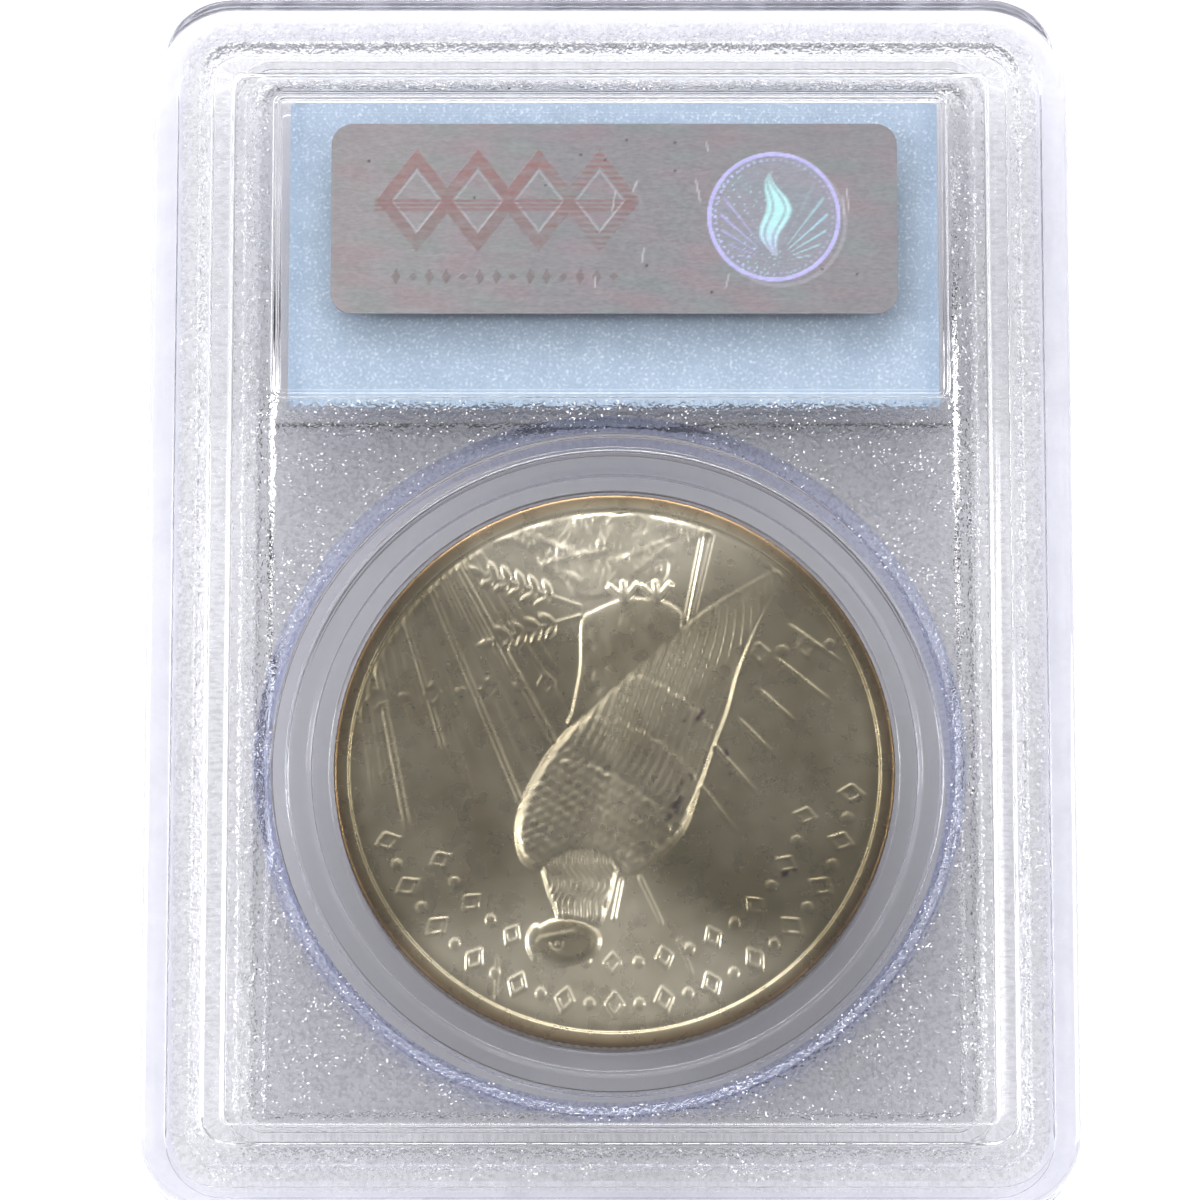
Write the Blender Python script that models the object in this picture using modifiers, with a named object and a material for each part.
"""Graded coin slab: a silver dollar sealed in a clear two-shell plastic holder.

The slab lies on its front rim, with the back, where the hologram is, facing up.
Origin: the centre of the slab's outline, on the plane that it rests on.
+X runs across the slab, +Y along it towards the label, +Z out of its back. Metres.

Heights inside the holder are counted from the weld plane, where the two halves meet.
A half's side is +1 for the back, which lies above that plane, and -1 for the front.
"""
import math

import bmesh
import bpy

# Clearance between pieces that touch or rest on each other.
GAP = 0.0003

# Outer holder.
SLAB_WIDTH = 0.0632
SLAB_LENGTH = 0.0846
SLAB_CORNER = 0.0056
SIDE_ROUND = 0.0015
FACE_INSET = 0.0018
SHOULDER_STEP = 0.0002
SHELL_WALL = 0.0033
SHELL_PANEL = 0.0009
RIB_THICKNESS = 0.0008
BACK, FRONT = 1, -1

# Stacking: the ridge on one slab's back nests in the recess of the next one's front.
RIDGE_HEIGHT = 0.0005
RIDGE_HALF_WIDTH = 0.0273
RIDGE_HALF_LENGTH = 0.03765
RIDGE_THICKNESS = 0.0014
RIDGE_CORNER = 0.0019
RECESS_DEPTH = 0.0006

# Weld joint: a tongue on the front half stands in a groove of the back half.
TONGUE_HEIGHT = 0.0008
TONGUE_THICKNESS = 0.00075

# Inner holder: two trays, back to back, with a round well and a label pocket.
# It lies a little to one side between the ribs that locate it.
PLATE_HALF = (0.0245, 0.0363)
PLATE_PANEL = 0.0007
PLATE_WALL = 0.0009
PLATE_CORNER = 0.0016
WELL_RADIUS = 0.0223
INNER_SHIFT = 0.0003

# Coin, of the size of a silver dollar, and the soft ring round it.
COIN_RADIUS = 0.01905
COIN_THICKNESS = 0.0024
COIN_CENTRE = (INNER_SHIFT, -0.01185)
COIN_TURN = math.radians(188.0)
COIN_RIM_WIDTH = 0.0011
COIN_FIELD_DEPTH = 0.00025
EMBLEM_HEIGHT = 0.00015
STAR_RADIUS = COIN_RADIUS / 2
STAR_POINTS = 5
STAR_WAIST = 0.42
GASKET_LIP_RADIUS = 0.0206
GASKET_LIP_DROP = 0.0003

# Label and hologram.
LABEL_SIZE = (0.0448, 0.0216, 0.0003)
LABEL_CENTRE = (INNER_SHIFT, 0.0244)
LABEL_CORNER = 0.0004
LABEL_STEP_Y = 0.0130
STICKER_SIZE = (0.0390, 0.0135, 0.00015)
STICKER_CENTRE = (INNER_SHIFT, 0.0266)
STICKER_CORNER = 0.0015

# Polished windows in the textured faces.
WINDOW_DEPTH = 0.00025
COIN_WINDOW_RADIUS = 0.0239
COIN_WINDOW_SLOPE = 0.0006
COIN_WINDOW_CENTRE = (0.0, -0.0118)
LABEL_WINDOW_HALF = (0.0232, 0.0108)
LABEL_WINDOW_CENTRE = (0.0, 0.02435)
LABEL_WINDOW_CORNER = 0.0008

# Heights above the weld plane, worked out from the coin outwards.
WELL_HEIGHT = COIN_THICKNESS / 2 + GAP
PLATE_FACE = WELL_HEIGHT + PLATE_PANEL
POCKET_HEIGHT = PLATE_FACE + GAP
PANEL_FACE = POCKET_HEIGHT + SHELL_PANEL
FRONT_RIM = PANEL_FACE + RECESS_DEPTH
BACK_RIDGE = PANEL_FACE + RIDGE_HEIGHT
HALF_START = GAP / 2
LABEL_FLOOR = LABEL_SIZE[2] / 2 + GAP
LABEL_FACE = LABEL_FLOOR + PLATE_PANEL
WELD_PLANE_Z = FRONT_RIM

CIRCLE_STEPS = 96
CORNER_STEPS = 6
ROUND_STEPS = 4
OVERSHOOT = 0.0005
SMALLEST_CORNER = 0.0004
SAME_HEIGHT = 0.000001

COLOURS = {
    "clear_shell": ((0.86, 0.88, 0.95, 1.0), 0.06, 0.0, 1.0),
    "clear_inner": ((0.88, 0.89, 0.94, 1.0), 0.05, 0.0, 1.0),
    "clear_gasket": ((0.90, 0.90, 0.92, 1.0), 0.12, 0.0, 1.0),
    "silver": ((0.62, 0.59, 0.50, 1.0), 0.33, 1.0, 0.0),
    "label_paper": ((0.62, 0.74, 0.88, 1.0), 0.70, 0.0, 0.0),
    "hologram_foil": ((0.52, 0.52, 0.53, 1.0), 0.30, 0.8, 0.0),
}


def clear_scene():
    for old in list(bpy.data.objects):
        bpy.data.objects.remove(old, do_unlink=True)


def make_collection(name):
    collection = bpy.data.collections.new(name)
    bpy.context.scene.collection.children.link(collection)
    return collection


def make_material(name):
    colour, roughness, metallic, transmission = COLOURS[name]
    material = bpy.data.materials.new(name)
    material.use_nodes = True
    shader = material.node_tree.nodes["Principled BSDF"]
    shader.inputs["Base Color"].default_value = colour
    shader.inputs["Roughness"].default_value = roughness
    shader.inputs["Metallic"].default_value = metallic
    shader.inputs["Transmission Weight"].default_value = transmission
    shader.inputs["IOR"].default_value = 1.59
    return material


def add_object(name, mesh, collection, centre):
    """Place a mesh whose own zero height is the weld plane."""
    item = bpy.data.objects.new(name, mesh)
    item.location = (centre[0], centre[1], WELD_PLANE_Z)
    collection.objects.link(item)
    return item


def mesh_from(bm, name):
    mesh = bpy.data.meshes.new(name)
    bm.to_mesh(mesh)
    bm.free()
    return mesh


def as_cutter(item):
    item.hide_render = True
    item.display_type = "WIRE"
    return item


def combine(target, tool, operation):
    """Cut a tool from the target, or join it on."""
    step = target.modifiers.new(f"{operation.lower()} {tool.name}", "BOOLEAN")
    step.operation = operation
    step.solver = "EXACT"
    step.object = tool


def rounded_block(name, half, corner, heights, side, collection, centre=(0.0, 0.0), edge=0.0):
    """A block with round upright corners, and a rounded outer edge where edge is above 0."""
    low, high = sorted(side * height for height in heights)
    bm = bmesh.new()
    bmesh.ops.create_cube(bm, size=1.0)
    for vertex in bm.verts:
        vertex.co.x *= 2 * half[0]
        vertex.co.y *= 2 * half[1]
        vertex.co.z = high if vertex.co.z > 0 else low
    upright = [e for e in bm.edges if abs(e.verts[0].co.z - e.verts[1].co.z) > SAME_HEIGHT]
    bmesh.ops.bevel(bm, geom=upright, offset=corner, segments=CORNER_STEPS, profile=0.5, affect="EDGES")
    if edge > 0:
        outer = high if side > 0 else low
        rim = [e for e in bm.edges if all(abs(v.co.z - outer) < SAME_HEIGHT for v in e.verts)]
        bmesh.ops.bevel(bm, geom=rim, offset=edge, segments=ROUND_STEPS, profile=0.5, affect="EDGES")
    return add_object(name, mesh_from(bm, name), collection, centre)


def block_ring(name, half, thickness, corner, heights, side, cutters):
    """A rectangular ring with round corners, for a joint, a ridge or a groove."""
    ring = as_cutter(rounded_block(name, half, corner, heights, side, cutters))
    inner_half = (half[0] - thickness, half[1] - thickness)
    inner_corner = max(corner - thickness, SMALLEST_CORNER)
    taller = (min(heights) - OVERSHOOT, max(heights) + OVERSHOOT)
    core = rounded_block(f"{name}_core", inner_half, inner_corner, taller, side, cutters)
    combine(ring, as_cutter(core), "DIFFERENCE")
    return ring


def disc(name, low_radius, high_radius, heights, side, collection, centre):
    """A round cutter whose radius changes evenly between two heights."""
    bm = bmesh.new()
    radii = (low_radius, high_radius) if side > 0 else (high_radius, low_radius)
    bmesh.ops.create_cone(bm, cap_ends=True, segments=CIRCLE_STEPS, radius1=radii[0],
                          radius2=radii[1], depth=heights[1] - heights[0])
    bmesh.ops.translate(bm, verts=bm.verts, vec=(0.0, 0.0, side * sum(heights) / 2))
    return as_cutter(add_object(name, mesh_from(bm, name), collection, centre))


def turned_piece(name, profile, closed, collection, centre):
    """Turn a profile of (radius, height) points, given down its outer side, about its axis."""
    mesh = bpy.data.meshes.new(name)
    edges = [(i, i + 1) for i in range(len(profile) - 1)]
    if closed:
        edges.append((len(profile) - 1, 0))
    mesh.from_pydata([(radius, 0.0, height) for radius, height in profile], edges, [])
    item = add_object(name, mesh, collection, centre)
    screw = item.modifiers.new("turn", "SCREW")
    screw.axis = "Z"
    screw.steps = CIRCLE_STEPS
    screw.render_steps = CIRCLE_STEPS
    screw.use_merge_vertices = True
    screw.merge_threshold = 0.00001
    screw.use_smooth_shade = True
    item.modifiers.new("even shading", "WEIGHTED_NORMAL")
    return item


def wall_half(inset):
    """Half width and half length of a rectangle that lies this far inside the slab's side."""
    return (SLAB_WIDTH / 2 - inset, SLAB_LENGTH / 2 - inset)


def cut_windows(shell, side, cutters):
    """Sink a polished window over the coin and one over the label."""
    floor = PANEL_FACE - WINDOW_DEPTH
    top = PANEL_FACE + WINDOW_DEPTH
    coin_window = disc(f"{shell.name}_coin_window", COIN_WINDOW_RADIUS - COIN_WINDOW_SLOPE,
                       COIN_WINDOW_RADIUS + COIN_WINDOW_SLOPE, (floor, top), side, cutters,
                       COIN_WINDOW_CENTRE)
    label_window = rounded_block(f"{shell.name}_label_window", LABEL_WINDOW_HALF,
                                 LABEL_WINDOW_CORNER, (floor, top), side, cutters,
                                 centre=LABEL_WINDOW_CENTRE)
    combine(shell, coin_window, "DIFFERENCE")
    combine(shell, as_cutter(label_window), "DIFFERENCE")


def cut_pocket(shell, side, cutters):
    """Hollow a shell from the weld plane, and leave the rib that locates the inner holder."""
    pocket = as_cutter(rounded_block(f"{shell.name}_pocket", wall_half(SHELL_WALL),
                                     SLAB_CORNER - SHELL_WALL, (-OVERSHOOT, POCKET_HEIGHT), side,
                                     cutters))
    rib_half = (PLATE_HALF[0] + INNER_SHIFT + GAP + RIB_THICKNESS,
                PLATE_HALF[1] + GAP + RIB_THICKNESS)
    rib = block_ring(f"{shell.name}_rib", rib_half, RIB_THICKNESS, PLATE_CORNER + GAP + RIB_THICKNESS,
                     (HALF_START, POCKET_HEIGHT + OVERSHOOT), side, cutters)
    combine(pocket, rib, "DIFFERENCE")
    combine(shell, pocket, "DIFFERENCE")


def shell_blank(name, face, side, parts, cutters):
    """A rounded shell body with the slightly raised face that carries the texture."""
    body = rounded_block(name, wall_half(0.0), SLAB_CORNER, (HALF_START, face - SHOULDER_STEP),
                         side, parts, edge=SIDE_ROUND)
    raised = rounded_block(f"{name}_face", wall_half(FACE_INSET), SLAB_CORNER - FACE_INSET,
                           (face - SHOULDER_STEP - OVERSHOOT, face), side, cutters)
    combine(body, as_cutter(raised), "UNION")
    return body


def back_outer_shell(parts, cutters):
    shell = shell_blank("back_outer_shell", PANEL_FACE, BACK, parts, cutters)
    cut_pocket(shell, BACK, cutters)
    cut_windows(shell, BACK, cutters)
    ridge = block_ring("stacking_ridge", (RIDGE_HALF_WIDTH, RIDGE_HALF_LENGTH), RIDGE_THICKNESS,
                       RIDGE_CORNER, (PANEL_FACE - OVERSHOOT, BACK_RIDGE), BACK, cutters)
    combine(shell, ridge, "UNION")
    middle = (SHELL_WALL - TONGUE_THICKNESS) / 2
    groove = block_ring("weld_groove", wall_half(middle - GAP), TONGUE_THICKNESS + 2 * GAP,
                        SLAB_CORNER - middle + GAP, (-OVERSHOOT, TONGUE_HEIGHT + HALF_START),
                        BACK, cutters)
    combine(shell, groove, "DIFFERENCE")
    return shell


def front_outer_shell(parts, cutters):
    shell = shell_blank("front_outer_shell", FRONT_RIM, FRONT, parts, cutters)
    recess_half = (RIDGE_HALF_WIDTH + GAP, RIDGE_HALF_LENGTH + GAP)
    recess = rounded_block("stacking_recess", recess_half, RIDGE_CORNER + GAP,
                           (PANEL_FACE, FRONT_RIM + OVERSHOOT), FRONT, cutters)
    combine(shell, as_cutter(recess), "DIFFERENCE")
    cut_pocket(shell, FRONT, cutters)
    cut_windows(shell, FRONT, cutters)
    middle = (SHELL_WALL - TONGUE_THICKNESS) / 2
    tongue = block_ring("weld_tongue", wall_half(middle), TONGUE_THICKNESS, SLAB_CORNER - middle,
                        (HALF_START - TONGUE_HEIGHT, HALF_START + OVERSHOOT), FRONT, cutters)
    combine(shell, tongue, "UNION")
    return shell


def inner_plate(name, side, parts, cutters):
    """One tray of the inner holder, with its half of the coin well and of the label pocket."""
    plate_at = (INNER_SHIFT, 0.0)
    plate = rounded_block(name, PLATE_HALF, PLATE_CORNER, (HALF_START, PLATE_FACE), side, parts,
                          centre=plate_at)

    hollow_half = (PLATE_HALF[0] - PLATE_WALL, PLATE_HALF[1] - PLATE_WALL)
    hollow = as_cutter(rounded_block(f"{name}_hollow", hollow_half, PLATE_CORNER - PLATE_WALL,
                                     (-OVERSHOOT, WELL_HEIGHT), side, cutters, centre=plate_at))
    keep = (-2 * OVERSHOOT, WELL_HEIGHT + OVERSHOOT)
    well_wall = disc(f"{name}_well_wall", WELL_RADIUS + PLATE_WALL, WELL_RADIUS + PLATE_WALL,
                     keep, side, cutters, COIN_CENTRE)
    label_half = (LABEL_SIZE[0] / 2 + GAP, LABEL_SIZE[1] / 2 + GAP)
    box_half = (label_half[0] + PLATE_WALL, label_half[1] + PLATE_WALL)
    label_wall = as_cutter(rounded_block(f"{name}_label_wall", box_half, PLATE_CORNER / 2, keep,
                                         side, cutters, centre=LABEL_CENTRE))
    combine(hollow, well_wall, "DIFFERENCE")
    combine(hollow, label_wall, "DIFFERENCE")
    combine(plate, hollow, "DIFFERENCE")

    well = disc(f"{name}_well", WELL_RADIUS, WELL_RADIUS, (-OVERSHOOT, WELL_HEIGHT), side,
                cutters, COIN_CENTRE)
    combine(plate, well, "DIFFERENCE")
    pocket = rounded_block(f"{name}_label_pocket", label_half, LABEL_CORNER,
                           (-OVERSHOOT, LABEL_FLOOR), side, cutters, centre=LABEL_CENTRE)
    combine(plate, as_cutter(pocket), "DIFFERENCE")
    label_end = PLATE_HALF[1] + OVERSHOOT
    step_half = (PLATE_HALF[0] + OVERSHOOT, (label_end - LABEL_STEP_Y) / 2)
    step = rounded_block(f"{name}_label_step", step_half, SMALLEST_CORNER,
                         (LABEL_FACE, PLATE_FACE + OVERSHOOT), side, cutters,
                         centre=(INNER_SHIFT, (label_end + LABEL_STEP_Y) / 2))
    combine(plate, as_cutter(step), "DIFFERENCE")
    return plate


def coin_gasket_ring(parts):
    """The soft clear ring that centres the coin: thinner at the lip that meets its edge."""
    half = COIN_THICKNESS / 2
    bore = COIN_RADIUS + GAP
    outside = WELL_RADIUS - GAP
    lip = half - GASKET_LIP_DROP
    profile = [
        (GASKET_LIP_RADIUS + GASKET_LIP_DROP, half),
        (outside, half),
        (outside, -half),
        (GASKET_LIP_RADIUS + GASKET_LIP_DROP, -half),
        (GASKET_LIP_RADIUS, -lip),
        (bore, -lip),
        (bore, lip),
        (GASKET_LIP_RADIUS, lip),
    ]
    return turned_piece("coin_gasket_ring", profile, True, parts, COIN_CENTRE)


def star_emblem(height, cutters):
    """A plain star for the coin's front: every second corner of a prism is drawn in."""
    bm = bmesh.new()
    bmesh.ops.create_cone(bm, cap_ends=True, segments=2 * STAR_POINTS, radius1=STAR_RADIUS,
                          radius2=STAR_RADIUS, depth=height)
    for vertex in bm.verts:
        turn = round(math.atan2(vertex.co.y, vertex.co.x) / (math.pi / STAR_POINTS))
        if turn % 2:
            vertex.co.x *= STAR_WAIST
            vertex.co.y *= STAR_WAIST
    return as_cutter(add_object("coin_star", mesh_from(bm, "coin_star"), cutters,
                                COIN_CENTRE))


def wing_emblem(height, cutters):
    """A plain bird with folded wings for the coin's back, as a flat raised outline."""
    outline = [(-0.0045, 0.0120), (-0.0015, 0.0125), (0.0015, 0.0095), (0.0050, 0.0060),
               (0.0060, 0.0000), (0.0045, -0.0060), (-0.0030, -0.0125), (-0.0100, -0.0120),
               (-0.0060, -0.0080), (-0.0020, -0.0070), (-0.0035, 0.0000), (-0.0030, 0.0060)]
    curve = bpy.data.curves.new("coin_bird", "CURVE")
    curve.dimensions = "2D"
    curve.fill_mode = "BOTH"
    curve.extrude = height / 2
    spline = curve.splines.new("POLY")
    spline.points.add(len(outline) - 1)
    for point, (x, y) in zip(spline.points, outline):
        point.co = (x, y, 0.0, 1.0)
    spline.use_cyclic_u = True
    drawn = bpy.data.objects.new("coin_bird_outline", curve)
    cutters.objects.link(drawn)
    bpy.context.view_layer.update()
    mesh = bpy.data.meshes.new_from_object(drawn.evaluated_get(bpy.context.evaluated_depsgraph_get()))
    bpy.data.objects.remove(drawn, do_unlink=True)
    bm = bmesh.new()
    bm.from_mesh(mesh)
    bmesh.ops.remove_doubles(bm, verts=bm.verts, dist=0.00001)
    bm.to_mesh(mesh)
    bm.free()
    return as_cutter(add_object("coin_bird", mesh, cutters, COIN_CENTRE))


def coin(parts, cutters):
    """A dished disc with a raised rim, a star on its front and a bird on its back."""
    half = COIN_THICKNESS / 2
    field = half - COIN_FIELD_DEPTH
    rim = COIN_RADIUS - COIN_RIM_WIDTH
    soft = COIN_FIELD_DEPTH / 2
    upper = [(0.0, field), (rim - COIN_FIELD_DEPTH, field), (rim, half),
             (COIN_RADIUS - soft, half), (COIN_RADIUS, half - soft)]
    lower = [(radius, -height) for radius, height in reversed(upper)]
    disc_body = turned_piece("coin", upper + lower, False, parts, COIN_CENTRE)
    star = star_emblem(EMBLEM_HEIGHT * 2, cutters)
    bird = wing_emblem(EMBLEM_HEIGHT * 2, cutters)
    star.location.z -= field
    bird.location.z += field
    star.rotation_euler.z = COIN_TURN
    bird.rotation_euler.z = COIN_TURN
    combine(disc_body, star, "UNION")
    combine(disc_body, bird, "UNION")
    return disc_body


def flat_piece(name, size, corner, centre, low, parts):
    """A thin flat sheet with round corners."""
    return rounded_block(name, (size[0] / 2, size[1] / 2), corner, (low, low + size[2]), BACK,
                         parts, centre=centre)


def build():
    clear_scene()
    parts = make_collection("graded_coin_slab")
    cutters = make_collection("cutters")
    anchor = bpy.data.objects.new("slab_origin", None)
    parts.objects.link(anchor)

    pieces = [
        (front_outer_shell(parts, cutters), "clear_shell"),
        (back_outer_shell(parts, cutters), "clear_shell"),
        (inner_plate("front_inner_plate", FRONT, parts, cutters), "clear_inner"),
        (inner_plate("back_inner_plate", BACK, parts, cutters), "clear_inner"),
        (coin_gasket_ring(parts), "clear_gasket"),
        (coin(parts, cutters), "silver"),
        (flat_piece("grade_label_card", LABEL_SIZE, LABEL_CORNER, LABEL_CENTRE,
                    -LABEL_SIZE[2] / 2, parts), "label_paper"),
        (flat_piece("hologram_sticker", STICKER_SIZE, STICKER_CORNER, STICKER_CENTRE,
                    LABEL_FACE + GAP, parts), "hologram_foil"),
    ]
    materials = {name: make_material(name) for name in COLOURS}
    for item, slot in pieces:
        item.parent = anchor
        item.data.materials.append(materials[slot])
        item.data.shade_smooth()
        item.data.set_sharp_from_angle(angle=math.radians(30.0))


build()
